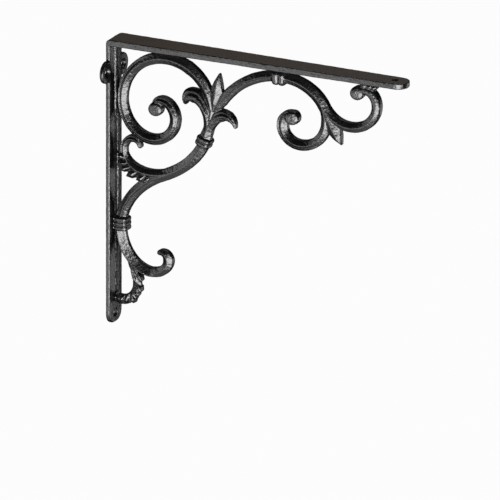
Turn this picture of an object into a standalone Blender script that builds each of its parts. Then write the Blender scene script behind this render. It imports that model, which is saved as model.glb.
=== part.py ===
"""An ornate cast iron shelf bracket: a flat strap bent to an L, with open scrollwork in its corner.

The whole bracket is one casting. The back of the plate is the plane X = 0 and lies on the wall,
the arm runs along +X, and the shelf lies on the arm's upper face. The casting is the same on both
sides of the plane Y = 0. The origin is on the plate's back, half way up.
"""

import math

import bmesh
import bpy
from mathutils import Vector

MM = 0.001

# The strap: a plate down the wall and an arm under the shelf.
PLATE_HEIGHT = 212.6 * MM
ARM_LENGTH = 236 * MM
SHELF_Z = PLATE_HEIGHT / 2
FOOT_Z = SHELF_Z - PLATE_HEIGHT
PLATE_WIDTH = 19.4 * MM
ARM_WIDTH_AT_WALL = 18.4 * MM
ARM_WIDTH_AT_TIP = 16.2 * MM
PLATE_THICKNESS = 3.6 * MM
ARM_THICKNESS = 4.2 * MM
CORNER_RADIUS = 4.8 * MM
FOOT_CORNER_RADIUS = 7.6 * MM
TIP_CORNER_RADIUS = 8.0 * MM
STRAP_EDGE_RADIUS = 1.1 * MM
END_STEPS = 5
CORNER_STEPS = 5

# The low rib that runs along the middle of the plate's front and of the arm's underside.
RIB_HEIGHT = 2.6 * MM
RIB_WIDTH = 4.6 * MM
RIB_FOOT_GAP = 23 * MM
RIB_TIP_GAP = 24 * MM

# The two ears that carry the upper screws, and the four holes.
EAR_Y = 12.0 * MM
EAR_DROP = 23.8 * MM
EAR_RADIUS = 8.2 * MM
EAR_THICKNESS = 3.0 * MM
EAR_EDGE_RADIUS = 0.9 * MM
EAR_SIDES = 24
SCREW_HOLE = 4.8 * MM
SCREW_SINK = 8.0 * MM
SCREW_OUT = 0.4 * MM
FOOT_HOLE = 6.2 * MM
FOOT_HOLE_UP = 6.9 * MM
TIP_HOLE = 4.8 * MM
TIP_HOLE_IN = 10.7 * MM
HOLE_SIDES = 20
PAST_FACE = 2 * MM

# Every scroll bar has one ridged section: points of a quarter, across the bar and through it.
SECTION_QUARTER = ((0.97, 0.28), (0.60, 0.76), (0.0, 1.0))
BAR_DEPTH = 8.4 * MM
LEAF_DEPTH = 9.4 * MM
FULL_BAR_WIDTH = 6.5 * MM
THINNING = 0.6
NOSE = ((0.26, 0.82), (0.42, 0.42))
LARGEST_TURN = 15.0
LARGEST_STEP = 9.0 * MM
SHARP_ANGLE = 40

# A scroll's centreline starts at (x, drop below the shelf) with a heading in degrees from +X
# towards +Z, and goes on as bends: (degrees turned, radius at the bend's start, radius at its end,
# bar width at its end). All its lengths are millimetres.
RING = (
    (80.0, -43.5), 94, 5.0,
    (
        (33, 35.0, 35.6, 8.2), (25, 35.6, 36.0, 9.0), (25, 36.0, 36.5, 7.4),
        (101, 36.5, 32.0, 6.9), (78, 32.0, 19.0, 7.8), (118, 19.0, 14.5, 7.6),
        (99, 14.5, 4.0, 5.8), (55, 4.5, 5.0, 3.0),
    ),
)
RIGHT_BAR = (
    (83.0, -44.0), 62, 5.0,
    (
        (-8, 69.5, 67.0, 8.0), (-49, 67.0, 52.5, 7.6), (-42, 52.5, 34.0, 8.6),
        (-23, 34.0, 24.0, 8.8), (30, 27.5, 25.5, 7.4), (58, 25.5, 21.5, 7.2),
        (112, 21.5, 9.0, 7.4), (58, 9.0, 10.5, 6.4), (50, 6.5, 5.0, 6.0),
    ),
)
LEFT_SCROLL = (
    (157.5, -15.5), -36, 4.6,
    (
        (-56, 39.0, 20.0, 7.4), (-59, 20.0, 20.5, 7.4), (-81, 20.5, 13.0, 7.8),
        (-60, 13.0, 9.5, 8.6), (-61, 9.5, 6.0, 6.2),
    ),
)
STEM = (
    (75.5, -62.5), -97, 8.6,
    ((-60, 17.0, 79.0, 8.6), (40, 77.0, 41.0, 8.0), (30, 41.0, 14.0, 7.6)),
)
STEM_TOP = ((80.5, -43.5), -96, 5.0, ((-17, 65.0, 69.0, 8.6),))
CREST = (
    (47.5, -95.0), 200, 6.5,
    (
        (-35, 58.5, 22.0, 7.0), (-59, 22.0, 12.5, 5.0), (-98, 12.5, 5.0, 5.2),
        (-91, 5.0, 6.0, 2.4),
    ),
)
TAIL_HOOK = (
    (8.0, -137.5), -92, 7.4,
    ((101, 41.5, 14.0, 7.0), (93, 14.0, 6.0, 7.8), (104, 6.0, 4.0, 4.0)),
)
TAIL_LEAF = (
    (12.0, -157.5), -61, 5.0,
    ((-23, 106.5, 15.0, 6.6), (-108, 15.0, 9.5, 7.4)),
)
LEFT_LEAF = (
    (75.5, -62.5), 64, 6.5,
    (
        (59, 18.5, 26.0, 7.4), (27, 26.0, 6.2, 9.4), (60, 6.2, 6.2, 8.8),
        (60, 6.2, 6.2, 2.6),
    ),
)
RIGHT_LEAF = (
    (75.8, -62.8), 76, 6.4,
    ((-62, 33.5, 6.8, 9.2), (-95, 6.8, 10.0, 2.4)),
)

# Two straight pointed leaves: base, tip, and widths at equal steps between them, in millimetres.
SPEAR = ((81.4, -45.0), (86.0, -16.2), (3.0, 5.6, 9.2, 9.2, 5.8, 1.8))
SMALL_SPEAR = ((168.6, -28.3), (183.0, -53.8), (2.0, 6.4, 10.6, 11.2, 7.4, 1.8))
SPEAR_DEPTH = 9.0 * MM

# The round eyes in the middles of the three scrolls: centre, radius and depth, in millimetres.
# The profile gives (share of the radius, share of half the depth) from the flat front to the rim.
EYES = (
    ("ring_eye", (35.8, -48.9), 5.4, 9.6),
    ("left_eye", (144.6, -39.6), 5.4, 9.6),
    ("right_eye", (194.0, -16.0), 3.8, 8.8),
)
EYE_PROFILE = ((0.40, 1.0), (0.78, 0.84), (0.96, 0.45), (1.0, 0.0))
EYE_SIDES = 14

# The three banded collars: centre, heading, width, depth and length, in millimetres and degrees.
# Each has two beads with a groove between them, round a section with softly squared corners.
COLLARS = (
    ("stem_collar", (73.8, -67.7), 68, 11.6, 11.4, 6.6),
    ("wall_collar", (8.4, -138.1), -90, 10.8, 11.4, 9.4),
    ("arm_collar", (134.0, -11.3), 0, 10.8, 11.0, 9.6),
)
COLLAR_BEADS = 2
COLLAR_SIDES = 12
COLLAR_SQUARENESS = 0.7
COLLAR_END = 0.80
COLLAR_GROOVE = 0.86

# The lobes on the outer side of the crest and of the tail leaf: (base, tip, width), each point
# as (x, drop below the shelf) in millimetres.
LOBE_DEPTH = 8.8 * MM
LOBE_QUARTER = ((0.95, 0.35), (0.0, 1.0))
LOBE_ROWS = ((0.0, 0.60), (0.35, 1.0), (0.72, 0.90), (1.0, 0.24))
CREST_LOBES = (
    ((31.0, -98.0), (19.4, -104.6), 6.4), ((23.5, -96.8), (11.6, -102.8), 7.0),
    ((17.5, -94.2), (5.6, -98.6), 6.4), ((14.0, -91.0), (4.2, -93.6), 5.6),
    ((12.0, -88.0), (4.6, -87.6), 5.0),
)
TAIL_LOBES = (
    ((15.5, -166.5), (24.8, -179.6), 5.0), ((18.8, -176.5), (22.8, -187.8), 5.4),
    ((19.4, -183.5), (20.4, -193.0), 5.4), ((17.0, -189.0), (17.2, -197.0), 5.2),
    ((12.5, -192.0), (10.8, -197.8), 5.8),
)


def clear_scene():
    for thing in list(bpy.data.objects):
        bpy.data.objects.remove(thing, do_unlink=True)


def mirrored_section(quarter):
    """A ridged section as unit points all the way round, from the points of one quarter."""
    upper = list(quarter) + [(-x, y) for x, y in quarter[-2::-1]]
    return upper + [(x, -y) for x, y in reversed(upper)]


def squared_circle(sides, squareness):
    """Unit points round a circle that is pushed out towards its four corners."""
    turns = [2 * math.pi * (k + 0.5) / sides for k in range(sides)]
    return [tuple(math.copysign(abs(c) ** squareness, c) for c in (math.cos(t), math.sin(t))) for t in turns]


def chain_stations(start, heading, first_width, bends):
    """Stations (x, z, heading, width) in millimetres along a chain of bends, from its first point."""
    x, z = start
    angle = math.radians(heading)
    width = first_width
    stations = [(x, z, angle, width)]
    for turn, first_radius, last_radius, last_width in bends:
        length = abs(math.radians(turn)) * (first_radius + last_radius) / 2
        steps = math.ceil(max(abs(turn) / LARGEST_TURN, length * MM / LARGEST_STEP))
        step_turn = math.radians(turn) / steps
        for step in range(steps):
            radius = first_radius + (last_radius - first_radius) * (step + 0.5) / steps
            chord = 2 * radius * math.sin(abs(step_turn) / 2)
            x += chord * math.cos(angle + step_turn / 2)
            z += chord * math.sin(angle + step_turn / 2)
            angle += step_turn
            width_here = width + (last_width - width) * (step + 1) / steps
            stations.append((x, z, angle, width_here))
        width = last_width
    return stations


def rounded_ends(stations, round_start, round_end):
    """The stations with two narrower ones past an end, which close the bar with a rounded nose."""
    def nose(station, way):
        x, z, angle, width = station
        step_x = way * width * math.cos(angle)
        step_z = way * width * math.sin(angle)
        return [(x + step_x * out, z + step_z * out, angle, width * share) for out, share in NOSE]

    head = nose(stations[0], -1)[::-1] if round_start else []
    tail = nose(stations[-1], 1) if round_end else []
    return head + stations + tail


def loft(name, rings):
    """A closed mesh object through rings of points, with a flat cap on the first and the last."""
    shape = bmesh.new()
    loops = [[shape.verts.new(point) for point in ring] for ring in rings]
    for here, there in zip(loops, loops[1:]):
        for a, b, c, d in zip(here, here[1:] + here[:1], there[1:] + there[:1], there):
            shape.faces.new((a, b, c, d))
    shape.faces.new(loops[0])
    shape.faces.new(loops[-1])
    bmesh.ops.recalc_face_normals(shape, faces=shape.faces[:])
    bmesh.ops.triangulate(shape, faces=shape.faces[:])
    mesh = bpy.data.meshes.new(name)
    shape.to_mesh(mesh)
    shape.free()
    return bpy.data.objects.new(name, mesh)


def bar(name, stations, depth=BAR_DEPTH, round_start=False, round_end=True):
    """A scroll bar of ridged section along stations; where it narrows it also gets thinner."""
    section = mirrored_section(SECTION_QUARTER)
    rings = []
    for x, z, angle, width in rounded_ends(stations, round_start, round_end):
        across = Vector((-math.sin(angle), 0, math.cos(angle))) * width * MM / 2
        narrowing = min(1.0, width * MM / FULL_BAR_WIDTH) ** THINNING
        deep = Vector((0, depth / 2 * narrowing, 0))
        centre = Vector((x * MM, 0, SHELF_Z + z * MM))
        rings.append([centre + across * u + deep * v for u, v in section])
    return loft(name, rings)


def scroll(name, chain, **options):
    return bar(name, chain_stations(*chain), **options)


def leaf(name, base, tip, widths):
    """A straight leaf from its base to its tip, with widths at equal steps between them."""
    run = Vector(tip) - Vector(base)
    angle = math.atan2(run.y, run.x)
    steps = len(widths) - 1
    stations = [(base[0] + run.x * k / steps, base[1] + run.y * k / steps, angle, width)
                for k, width in enumerate(widths)]
    return bar(name, stations, depth=SPEAR_DEPTH)


def boss(name, centre, radius, depth):
    """The round eye at a scroll's end: a domed disc on both sides of the bar."""
    half = [(height * depth / 2 * MM, share * radius * MM) for share, height in EYE_PROFILE]
    rows = half + [(-out, size) for out, size in half[-2::-1]]
    middle = Vector((centre[0] * MM, 0, SHELF_Z + centre[1] * MM))
    return disc(name, middle, Vector((0, 1, 0)), rows, EYE_SIDES)


def collar(name, centre, heading, width, depth, length):
    """A band cast round a bar, with beads side by side along the bar and a groove between them."""
    angle = math.radians(heading)
    along = Vector((math.cos(angle), 0, math.sin(angle)))
    across = Vector((-math.sin(angle), 0, math.cos(angle)))
    middle = Vector((centre[0] * MM, 0, SHELF_Z + centre[1] * MM))
    bead = length / COLLAR_BEADS
    rows = []
    for k in range(COLLAR_BEADS):
        start = -length / 2 + k * bead
        rows.append((start, COLLAR_GROOVE if k else COLLAR_END))
        rows += [(start + bead * 0.22, 1.0), (start + bead * 0.78, 1.0)]
    rows.append((length / 2, COLLAR_END))
    section = squared_circle(COLLAR_SIDES, COLLAR_SQUARENESS)
    rings = []
    for out, share in rows:
        wide = across * width / 2 * MM * share
        deep = Vector((0, depth / 2 * MM * share, 0))
        rings.append([middle + along * out * MM + wide * u + deep * v for u, v in section])
    return loft(name, rings)


def rounded_rectangle(width, thickness, edge):
    """Points (across, inward) of a rectangle with rounded edges, inward from 0 to its thickness."""
    edge = min(edge, width * 0.45, thickness * 0.45)
    corners = ((1, 1, 0), (-1, 1, 90), (-1, 0, 180), (1, 0, 270))
    points = []
    for side, inner, first in corners:
        y = side * (width / 2 - edge)
        depth = thickness - edge if inner else edge
        for step in range(3):
            t = math.radians(first + 45 * step)
            points.append((y + edge * math.cos(t), depth + edge * math.sin(t)))
    return points


def end_rows(width, corner):
    """(distance from the end, width there) for a strap's end with rounded corners."""
    rows = []
    for step in range(END_STEPS + 1):
        t = math.radians(90 * step / END_STEPS)
        rows.append((corner * (1 - math.cos(t)), width - 2 * corner * (1 - math.sin(t))))
    return rows


def strap():
    """The flat strap: up the wall from the foot, round the corner, and out to the arm's tip."""
    rings = []

    def ring(x, z, inward, width, thickness):
        section = rounded_rectangle(width, thickness, STRAP_EDGE_RADIUS)
        rings.append([Vector((x, y, z)) + inward * depth for y, depth in section])

    for out, width in end_rows(PLATE_WIDTH, FOOT_CORNER_RADIUS):
        ring(0, FOOT_Z + out, Vector((1, 0, 0)), width, PLATE_THICKNESS)
    for step in range(CORNER_STEPS + 1):
        share = step / CORNER_STEPS
        t = math.radians(90 * share)
        inward = Vector((math.cos(t), 0, -math.sin(t)))
        x = CORNER_RADIUS * (1 - math.cos(t))
        z = SHELF_Z - CORNER_RADIUS * (1 - math.sin(t))
        width = PLATE_WIDTH + (ARM_WIDTH_AT_WALL - PLATE_WIDTH) * share
        thickness = PLATE_THICKNESS + (ARM_THICKNESS - PLATE_THICKNESS) * share
        ring(x, z, inward, width, thickness)
    for out, width in reversed(end_rows(ARM_WIDTH_AT_TIP, TIP_CORNER_RADIUS)):
        ring(ARM_LENGTH - out, SHELF_Z, Vector((0, 0, -1)), width, ARM_THICKNESS)
    return loft("shelf_bracket", rings)


def rib(name, start, end, inward):
    """The low rib on the strap's inner face between two points on that face, sloping at its ends."""
    half = ((0.5, -0.5), (0.5, 0.0), (0.40, 0.62), (0.22, 1.0))
    section = list(half) + [(-y, h) for y, h in reversed(half)]
    slope = (end - start).normalized() * RIB_HEIGHT
    rows = (
        (start, 0.15), (start + slope * 0.6, 0.75), (start + slope * 1.6, 1.0),
        (end - slope * 1.6, 1.0), (end - slope * 0.6, 0.75), (end, 0.15),
    )
    rings = []
    for point, share in rows:
        ring = []
        for y, h in section:
            height = RIB_HEIGHT * (h * share if h > 0 else h)
            ring.append(point + Vector((0, y * RIB_WIDTH, 0)) + inward * height)
        rings.append(ring)
    return loft(name, rings)


def disc(name, centre, axis, rows, sides):
    """A turned solid: circles given as (distance along the axis, radius)."""
    across = axis.orthogonal().normalized()
    up = axis.cross(across)
    rings = []
    for out, radius in rows:
        turns = [2 * math.pi * (k + 0.5) / sides for k in range(sides)]
        rings.append([centre + axis * out + (across * math.cos(t) + up * math.sin(t)) * radius for t in turns])
    return loft(name, rings)


def ear(name, side):
    """A flat round ear on the wall, beside the plate, with rounded edges."""
    edge = EAR_EDGE_RADIUS
    rows = (
        (0, EAR_RADIUS - edge), (edge, EAR_RADIUS),
        (EAR_THICKNESS - edge, EAR_RADIUS), (EAR_THICKNESS, EAR_RADIUS - edge),
    )
    centre = Vector((0, side * EAR_Y, SHELF_Z - EAR_DROP))
    return disc(name, centre, Vector((1, 0, 0)), rows, EAR_SIDES)


def lobe(name, base, tip, width):
    """One pointed lobe of a cast leaf, a short broad tongue of fewer points than a bar."""
    run = Vector(tip) - Vector(base)
    across = Vector((-run.y, 0, run.x)) / run.length
    section = mirrored_section(LOBE_QUARTER)
    rings = []
    for share, fullness in LOBE_ROWS:
        x, drop = Vector(base) + run * share
        middle = Vector((x * MM, 0, SHELF_Z + drop * MM))
        wide = across * width / 2 * MM * fullness
        deep = Vector((0, LOBE_DEPTH / 2 * math.sqrt(fullness), 0))
        rings.append([middle + wide * u + deep * v for u, v in section])
    return loft(name, rings)


def lobes(name, places):
    return [lobe(f"{name}_{number}", *place) for number, place in enumerate(places)]


def castings():
    """Everything that the casting adds to the strap."""
    wall_face = Vector((PLATE_THICKNESS, 0, 0))
    inner_corner = Vector((PLATE_THICKNESS, 0, SHELF_Z - ARM_THICKNESS))
    rib_foot = Vector((PLATE_THICKNESS, 0, FOOT_Z + RIB_FOOT_GAP))
    rib_tip = Vector((ARM_LENGTH - RIB_TIP_GAP, 0, SHELF_Z - ARM_THICKNESS))
    pieces = [
        rib("plate_rib", rib_foot, inner_corner + Vector((0, 0, RIB_HEIGHT)), Vector((1, 0, 0))),
        rib("arm_rib", inner_corner - Vector((RIB_HEIGHT, 0, 0)), rib_tip, Vector((0, 0, -1))),
        ear("ear_near", -1),
        ear("ear_far", 1),
        scroll("ring", RING),
        scroll("right_bar", RIGHT_BAR),
        scroll("left_scroll", LEFT_SCROLL),
        scroll("stem", STEM),
        scroll("stem_top", STEM_TOP),
        scroll("crest", CREST),
        scroll("tail_hook", TAIL_HOOK),
        scroll("tail_leaf", TAIL_LEAF),
        scroll("left_leaf", LEFT_LEAF, depth=LEAF_DEPTH, round_start=True),
        scroll("right_leaf", RIGHT_LEAF, depth=LEAF_DEPTH, round_start=True),
        leaf("spear", *SPEAR),
        leaf("small_spear", *SMALL_SPEAR),
    ]
    pieces += [boss(*eye) for eye in EYES]
    pieces += [collar(*row) for row in COLLARS]
    pieces += lobes("crest_lobe", CREST_LOBES)
    pieces += lobes("tail_lobe", TAIL_LOBES)
    return pieces


def screw_cutters():
    """The four holes' cutters: countersunk ones in the ears, plain ones in the foot and the tip."""
    slope = (SCREW_SINK - SCREW_HOLE) / 2
    sink_rows = (
        (-PAST_FACE, SCREW_HOLE / 2), (EAR_THICKNESS - slope, SCREW_HOLE / 2),
        (EAR_THICKNESS + PAST_FACE, SCREW_SINK / 2 + PAST_FACE),
    )
    out = Vector((1, 0, 0))
    cutters = []
    for name, side in (("near_hole", -1), ("far_hole", 1)):
        centre = Vector((0, side * (EAR_Y + SCREW_OUT), SHELF_Z - EAR_DROP))
        cutters.append(disc(name, centre, out, sink_rows, HOLE_SIDES))
    foot = Vector((0, 0, FOOT_Z + FOOT_HOLE_UP))
    foot_rows = ((-PAST_FACE, FOOT_HOLE / 2), (PLATE_THICKNESS + PAST_FACE, FOOT_HOLE / 2))
    cutters.append(disc("foot_hole", foot, out, foot_rows, HOLE_SIDES))
    tip = Vector((ARM_LENGTH - TIP_HOLE_IN, 0, SHELF_Z))
    tip_rows = ((-PAST_FACE, TIP_HOLE / 2), (ARM_THICKNESS + PAST_FACE, TIP_HOLE / 2))
    cutters.append(disc("tip_hole", tip, Vector((0, 0, -1)), tip_rows, HOLE_SIDES))
    return cutters


def helper_collection(name, things):
    group = bpy.data.collections.new(name)
    bpy.context.scene.collection.children.link(group)
    for thing in things:
        group.objects.link(thing)
        thing.hide_render = True
        thing.display_type = "WIRE"
    return group


def boolean(target, name, operation, group):
    modifier = target.modifiers.new(name, "BOOLEAN")
    modifier.operation = operation
    modifier.operand_type = "COLLECTION"
    modifier.collection = group
    modifier.solver = "EXACT"


def cast_iron():
    material = bpy.data.materials.new("black_cast_iron")
    material.use_nodes = True
    shader = material.node_tree.nodes["Principled BSDF"]
    shader.inputs["Base Color"].default_value = (0.012, 0.012, 0.012, 1.0)
    shader.inputs["Roughness"].default_value = 0.38
    shader.inputs["Metallic"].default_value = 0.3
    return material


def make_bracket():
    bracket = strap()
    bpy.context.scene.collection.objects.link(bracket)
    boolean(bracket, "scrollwork", "UNION", helper_collection("scrollwork", castings()))
    boolean(bracket, "holes", "DIFFERENCE", helper_collection("holes", screw_cutters()))
    bracket.data.materials.append(cast_iron())
    bracket.data.shade_smooth()
    bracket.data.set_sharp_from_angle(angle=math.radians(SHARP_ANGLE))
    return bracket


clear_scene()
make_bracket()
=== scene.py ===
# %% [markdown]
# # An ornate cast iron shelf bracket
#
# This lesson dresses a measured model of a small cast iron bracket. The real thing is one casting:
# a flat strap bent to an L, with scrollwork in its corner, painted satin black. The measured model
# gives its outline and its places. Here the same forms are made again with their fine relief, fused
# into one skin as molten iron would fuse them, and given the look of black paint on sand-cast iron.

# %% Load the measured model
import math

import bmesh
import bpy
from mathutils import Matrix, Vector


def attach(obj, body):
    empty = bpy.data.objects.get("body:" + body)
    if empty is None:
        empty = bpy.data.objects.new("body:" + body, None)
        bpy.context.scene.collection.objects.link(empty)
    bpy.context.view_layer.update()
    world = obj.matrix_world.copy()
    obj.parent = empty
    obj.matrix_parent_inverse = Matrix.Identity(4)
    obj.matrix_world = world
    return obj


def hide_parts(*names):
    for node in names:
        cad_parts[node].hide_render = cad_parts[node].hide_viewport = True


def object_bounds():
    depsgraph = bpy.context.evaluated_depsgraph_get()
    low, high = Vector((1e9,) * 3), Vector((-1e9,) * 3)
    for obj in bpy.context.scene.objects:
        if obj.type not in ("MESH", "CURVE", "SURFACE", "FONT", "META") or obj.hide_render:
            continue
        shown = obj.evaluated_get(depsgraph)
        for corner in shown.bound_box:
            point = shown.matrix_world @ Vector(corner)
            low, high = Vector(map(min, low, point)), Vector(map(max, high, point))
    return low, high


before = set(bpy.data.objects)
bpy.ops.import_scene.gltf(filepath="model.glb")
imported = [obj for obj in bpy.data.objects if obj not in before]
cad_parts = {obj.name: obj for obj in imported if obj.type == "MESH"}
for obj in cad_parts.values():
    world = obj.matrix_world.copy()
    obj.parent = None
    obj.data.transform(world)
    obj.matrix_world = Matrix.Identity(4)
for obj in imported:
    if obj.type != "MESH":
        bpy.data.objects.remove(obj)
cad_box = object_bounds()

print("The measured bracket spans", [round(1000 * side, 1) for side in cad_box[1] - cad_box[0]], "mm")

# %% [markdown]
# ## The camera
#
# The photograph was taken from far away, from the right and a little above, so lines that are
# parallel on the bracket stay parallel in the picture. An orthographic camera draws just that. Its
# two angles were read from the slopes of the arm and of the plate's foot, and its scale is the number
# of picture points to a millimetre.

# %% Point the camera
MM = 0.001
AZIMUTH = math.radians(27.0)
ELEVATION = math.radians(17.95)
POINTS_PER_MM = 1.41
PICTURE_POINTS = 500
CAMERA_DISTANCE = 3.0

# The picture point of the origin of the shelf face at the wall, from the picture's left and top.
CORNER_POINT = (112.0, 35.6)

camera_back = Vector((
    math.sin(AZIMUTH) * math.cos(ELEVATION),
    -math.cos(AZIMUTH) * math.cos(ELEVATION),
    math.sin(ELEVATION),
))
camera_right = Vector((math.cos(AZIMUTH), math.sin(AZIMUTH), 0))
camera_up = camera_back.cross(camera_right)
corner = Vector((0, 0, cad_box[1].z))
to_middle_right = (PICTURE_POINTS / 2 - CORNER_POINT[0]) / POINTS_PER_MM * MM
to_middle_down = (PICTURE_POINTS / 2 - CORNER_POINT[1]) / POINTS_PER_MM * MM
picture_middle = corner + camera_right * to_middle_right - camera_up * to_middle_down

camera_data = bpy.data.cameras.new("camera")
camera_data.type = "ORTHO"
camera_data.ortho_scale = PICTURE_POINTS / POINTS_PER_MM * MM
camera_data.clip_end = 20
camera = bpy.data.objects.new("camera", camera_data)
bpy.context.scene.collection.objects.link(camera)
camera.location = picture_middle + camera_back * CAMERA_DISTANCE
camera.rotation_euler = camera_back.to_track_quat("Z", "Y").to_euler()
bpy.context.scene.camera = camera
print("The picture is", round(1000 * camera_data.ortho_scale), "mm wide")

# %% [markdown]
# ## Sizes
#
# These are the sizes of the measured model, with the strap's width, thickness and outer corner set a
# little truer to the photograph. The wall is the plane X = 0, the shelf face is the top of the arm, and
# everything is alike on both sides of the plane Y = 0. Places on the scrollwork are written as
# (distance from the wall, drop below the shelf face) in millimetres.

# %% Write down the strap's sizes
SHELF_Z = cad_box[1].z
FOOT_Z = cad_box[0].z
PLATE_HEIGHT = SHELF_Z - FOOT_Z
ARM_LENGTH = cad_box[1].x
PLATE_WIDTH = 19.8 * MM
ARM_WIDTH_AT_TIP = 16.2 * MM
PLATE_THICKNESS = 3.0 * MM
ARM_THICKNESS_AT_WALL = 4.9 * MM
ARM_THICKNESS_AT_TIP = 4.5 * MM
CORNER_RADIUS = 3.0 * MM
FOOT_CORNER_RADIUS = 7.6 * MM
TIP_CORNER_RADIUS = 8.0 * MM
OUTER_EDGE_RADIUS = 0.4 * MM
INNER_EDGE_RADIUS = 0.8 * MM

# The ears, and the countersunk screw holes, which lie a little further out than the ears' middles.
EAR_Y = 12.0 * MM
EAR_DROP = 23.8 * MM
EAR_RADIUS = 8.2 * MM
EAR_THICKNESS = 3.0 * MM
EAR_EDGE_RADIUS = 0.9 * MM
SCREW_HOLE = 4.8 * MM
SCREW_SINK = 8.0 * MM
SCREW_OUT = 0.4 * MM

# The plain holes in the plate's foot and in the arm's tip.
FOOT_HOLE = 6.2 * MM
FOOT_HOLE_UP = 6.9 * MM
TIP_HOLE = 4.8 * MM
TIP_HOLE_IN = 10.7 * MM
print("The arm is", round(1000 * ARM_LENGTH), "mm long, the plate", round(1000 * PLATE_HEIGHT), "mm")

# %% [markdown]
# ## The strap
#
# A flat bar's end is a plane as wide and as thick as the plate. It is extruded up the wall and out under
# the shelf, where it gets a little narrower and thinner. Bevels round the corner, the foot and the tip,
# and smaller ones take the edge off all round, because a sand mould leaves no sharp edges.

# %% Helpers for modelling by hand
# A place this near to a plane lies on it, and a normal or an edge whose share along an axis is larger
# than this points that way.
CLOSE = 0.1 * MM
NEARLY_ALL = 0.9


def deselect_all():
    if bpy.context.object and bpy.context.object.mode != "OBJECT":
        bpy.ops.object.mode_set(mode="OBJECT")
    bpy.ops.object.select_all(action="DESELECT")


def edit(piece):
    """Starts editing a piece, with nothing in it selected."""
    deselect_all()
    piece.select_set(True)
    bpy.context.view_layer.objects.active = piece
    bpy.ops.object.mode_set(mode="EDIT")
    bpy.ops.mesh.select_all(action="DESELECT")


def select_parts(piece, kind, wanted):
    """Selects the piece's faces or edges whose middle and mesh element pass the test."""
    bpy.ops.mesh.select_mode(type=kind)
    shape = bmesh.from_edit_mesh(piece.data)
    parts = shape.faces if kind == "FACE" else shape.edges
    for part in parts:
        middle = sum((v.co for v in part.verts), Vector()) / len(part.verts)
        part.select_set(wanted(middle, part))
    shape.select_flush_mode()
    bmesh.update_edit_mesh(piece.data)
    return sum(part.select for part in parts)


def apply_modifier(piece, kind, **settings):
    deselect_all()
    piece.select_set(True)
    bpy.context.view_layer.objects.active = piece
    modifier = piece.modifiers.new(kind, kind)
    for name, value in settings.items():
        setattr(modifier, name, value)
    bpy.ops.object.modifier_apply(modifier=modifier.name)


def named(name):
    """The object just added, with its place applied to its mesh and a name of its own."""
    bpy.ops.object.mode_set(mode="OBJECT")
    piece = bpy.context.object
    bpy.ops.object.transform_apply(location=True, rotation=True, scale=True)
    piece.name = name
    piece.data.name = name
    return piece


print("Helpers ready")

# %% Extrude the strap
deselect_all()
bpy.ops.mesh.primitive_plane_add(size=1, location=(PLATE_THICKNESS / 2, 0, FOOT_Z))
bpy.ops.transform.resize(value=(PLATE_THICKNESS, PLATE_WIDTH, 1))
strap = named("strap")
edit(strap)
bpy.ops.mesh.select_all(action="SELECT")
plate_run = PLATE_HEIGHT - ARM_THICKNESS_AT_WALL
bpy.ops.mesh.extrude_region_move(TRANSFORM_OT_translate={"value": (0, 0, plate_run)})
bpy.ops.mesh.extrude_region_move(TRANSFORM_OT_translate={"value": (0, 0, ARM_THICKNESS_AT_WALL)})


def at_arm_root(middle, face):
    """True for the face, at the height of the arm, from which the arm grows."""
    return face.normal.x > NEARLY_ALL and middle.z > SHELF_Z - ARM_THICKNESS_AT_WALL


select_parts(strap, "FACE", at_arm_root)
bpy.ops.mesh.extrude_region_move(TRANSFORM_OT_translate={"value": (ARM_LENGTH - PLATE_THICKNESS, 0, 0)})
bpy.ops.object.mode_set(mode="OBJECT")
print("The strap has", len(strap.data.vertices), "points")

# %% Narrow and thin the arm towards its tip
edit(strap)
select_parts(strap, "FACE", lambda middle, face: middle.x > ARM_LENGTH - CLOSE)
bpy.ops.transform.resize(
    value=(1, ARM_WIDTH_AT_TIP / PLATE_WIDTH, ARM_THICKNESS_AT_TIP / ARM_THICKNESS_AT_WALL),
    center_override=(ARM_LENGTH, 0, SHELF_Z),
)
bpy.ops.mesh.select_all(action="SELECT")
bpy.ops.mesh.remove_doubles(threshold=0.01 * MM)
bpy.ops.mesh.normals_make_consistent(inside=False)
print("The arm narrows to", round(1000 * ARM_WIDTH_AT_TIP, 1), "mm at its tip")

# %% Round the corner, the foot and the tip
def across_end(at, axis, across):
    """A test for the short edges through the strap's thickness at one of its ends."""
    def test(middle, edge):
        run = edge.verts[1].co - edge.verts[0].co
        return abs(middle[axis] - at) < CLOSE and abs(run[across]) > NEARLY_ALL * run.length > 0
    return test


def across_corner(middle, edge):
    """True for the strap's outer corner, where the wall's side meets the shelf's."""
    return middle.x < CLOSE and middle.z > SHELF_Z - CLOSE


select_parts(strap, "EDGE", across_corner)
bpy.ops.mesh.bevel(offset=CORNER_RADIUS, segments=5, affect="EDGES")
print("Foot corners:", select_parts(strap, "EDGE", across_end(FOOT_Z, 2, 0)))
bpy.ops.mesh.bevel(offset=FOOT_CORNER_RADIUS, segments=8, affect="EDGES")
print("Tip corners:", select_parts(strap, "EDGE", across_end(ARM_LENGTH, 0, 2)))
bpy.ops.mesh.bevel(offset=TIP_CORNER_RADIUS, segments=8, affect="EDGES")
bpy.ops.mesh.select_all(action="DESELECT")

# %% Take the edge off all round
SHARP_ANGLE = math.radians(60)
CORNER_SLACK = 0.4 * MM


def on_narrow_side(middle, face):
    """True for a face of the strap's narrow side, which runs along it and round both its ends."""
    at_foot = face.normal.z < -0.5 and middle.z < FOOT_Z + FOOT_CORNER_RADIUS
    at_tip = face.normal.x > 0.5 and middle.x > ARM_LENGTH - TIP_CORNER_RADIUS
    return abs(face.normal.y) > 0.5 or at_foot or at_tip


def on_rim(middle, edge):
    """True for an edge between a broad face of the strap and its narrow side."""
    if len(edge.link_faces) != 2:
        return False
    sides = [on_narrow_side(middle, face) for face in edge.link_faces]
    return edge.calc_face_angle(0) > SHARP_ANGLE and sides[0] != sides[1]


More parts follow.
